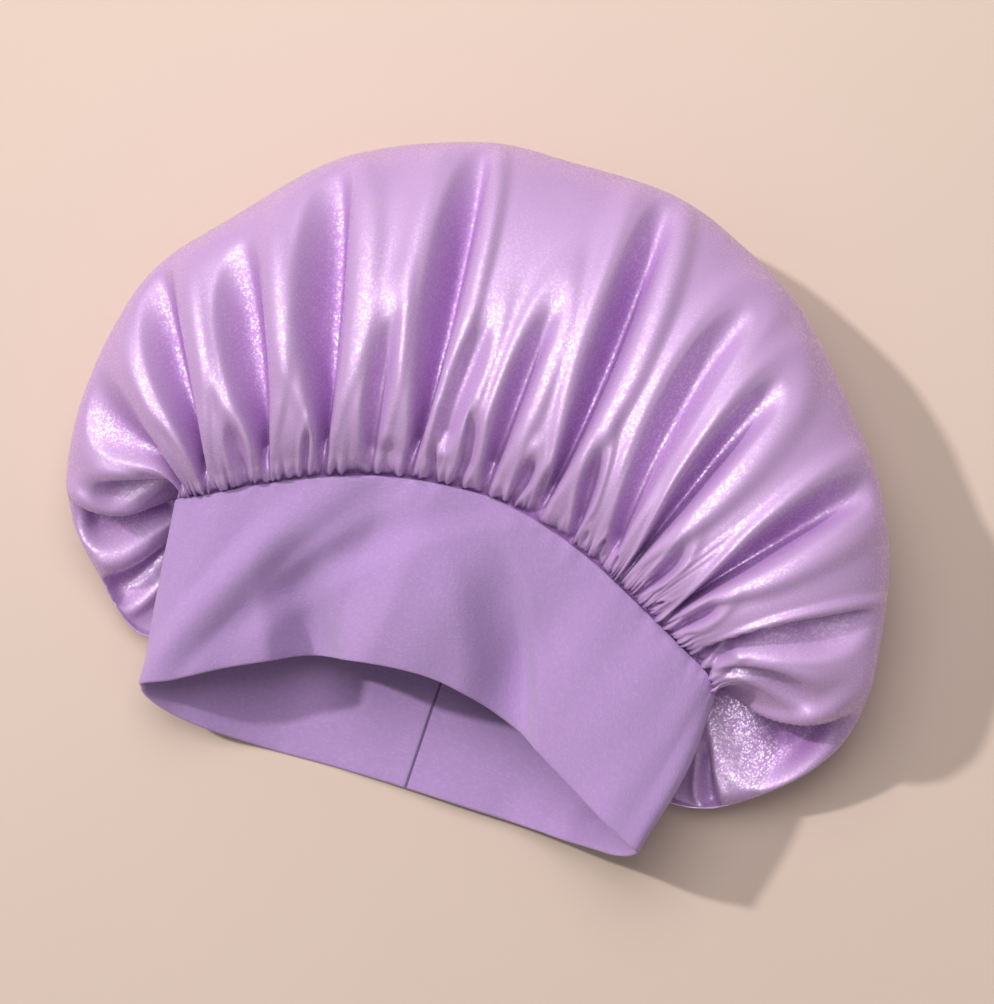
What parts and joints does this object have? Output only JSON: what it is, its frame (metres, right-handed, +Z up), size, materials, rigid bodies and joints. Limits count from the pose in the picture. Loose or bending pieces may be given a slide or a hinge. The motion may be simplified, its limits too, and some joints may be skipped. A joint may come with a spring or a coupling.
{
  "type": "sleep bonnet",
  "caption": "Soft sleep bonnet lying flat on its back: a full gathered satin crown sewn to a wide folded knit band.",
  "frame": {"origin": "on the ground under the middle of the whole bonnet as it lies on its back", "axes": "+X across the bonnet to its right side, +Y from the mouth towards the crown's far side, +Z up from the ground"},
  "size_m": [0.3788, 0.299, 0.0893],
  "materials": {
    "satin": "lilac satin, glossy along its folds, fine sparkling weave",
    "knit": "matt lilac knit with a fine diagonal grain"
  },
  "bodies": {
    "root": {"crown": "satin", "band": "knit"}
  },
  "joints": []
}
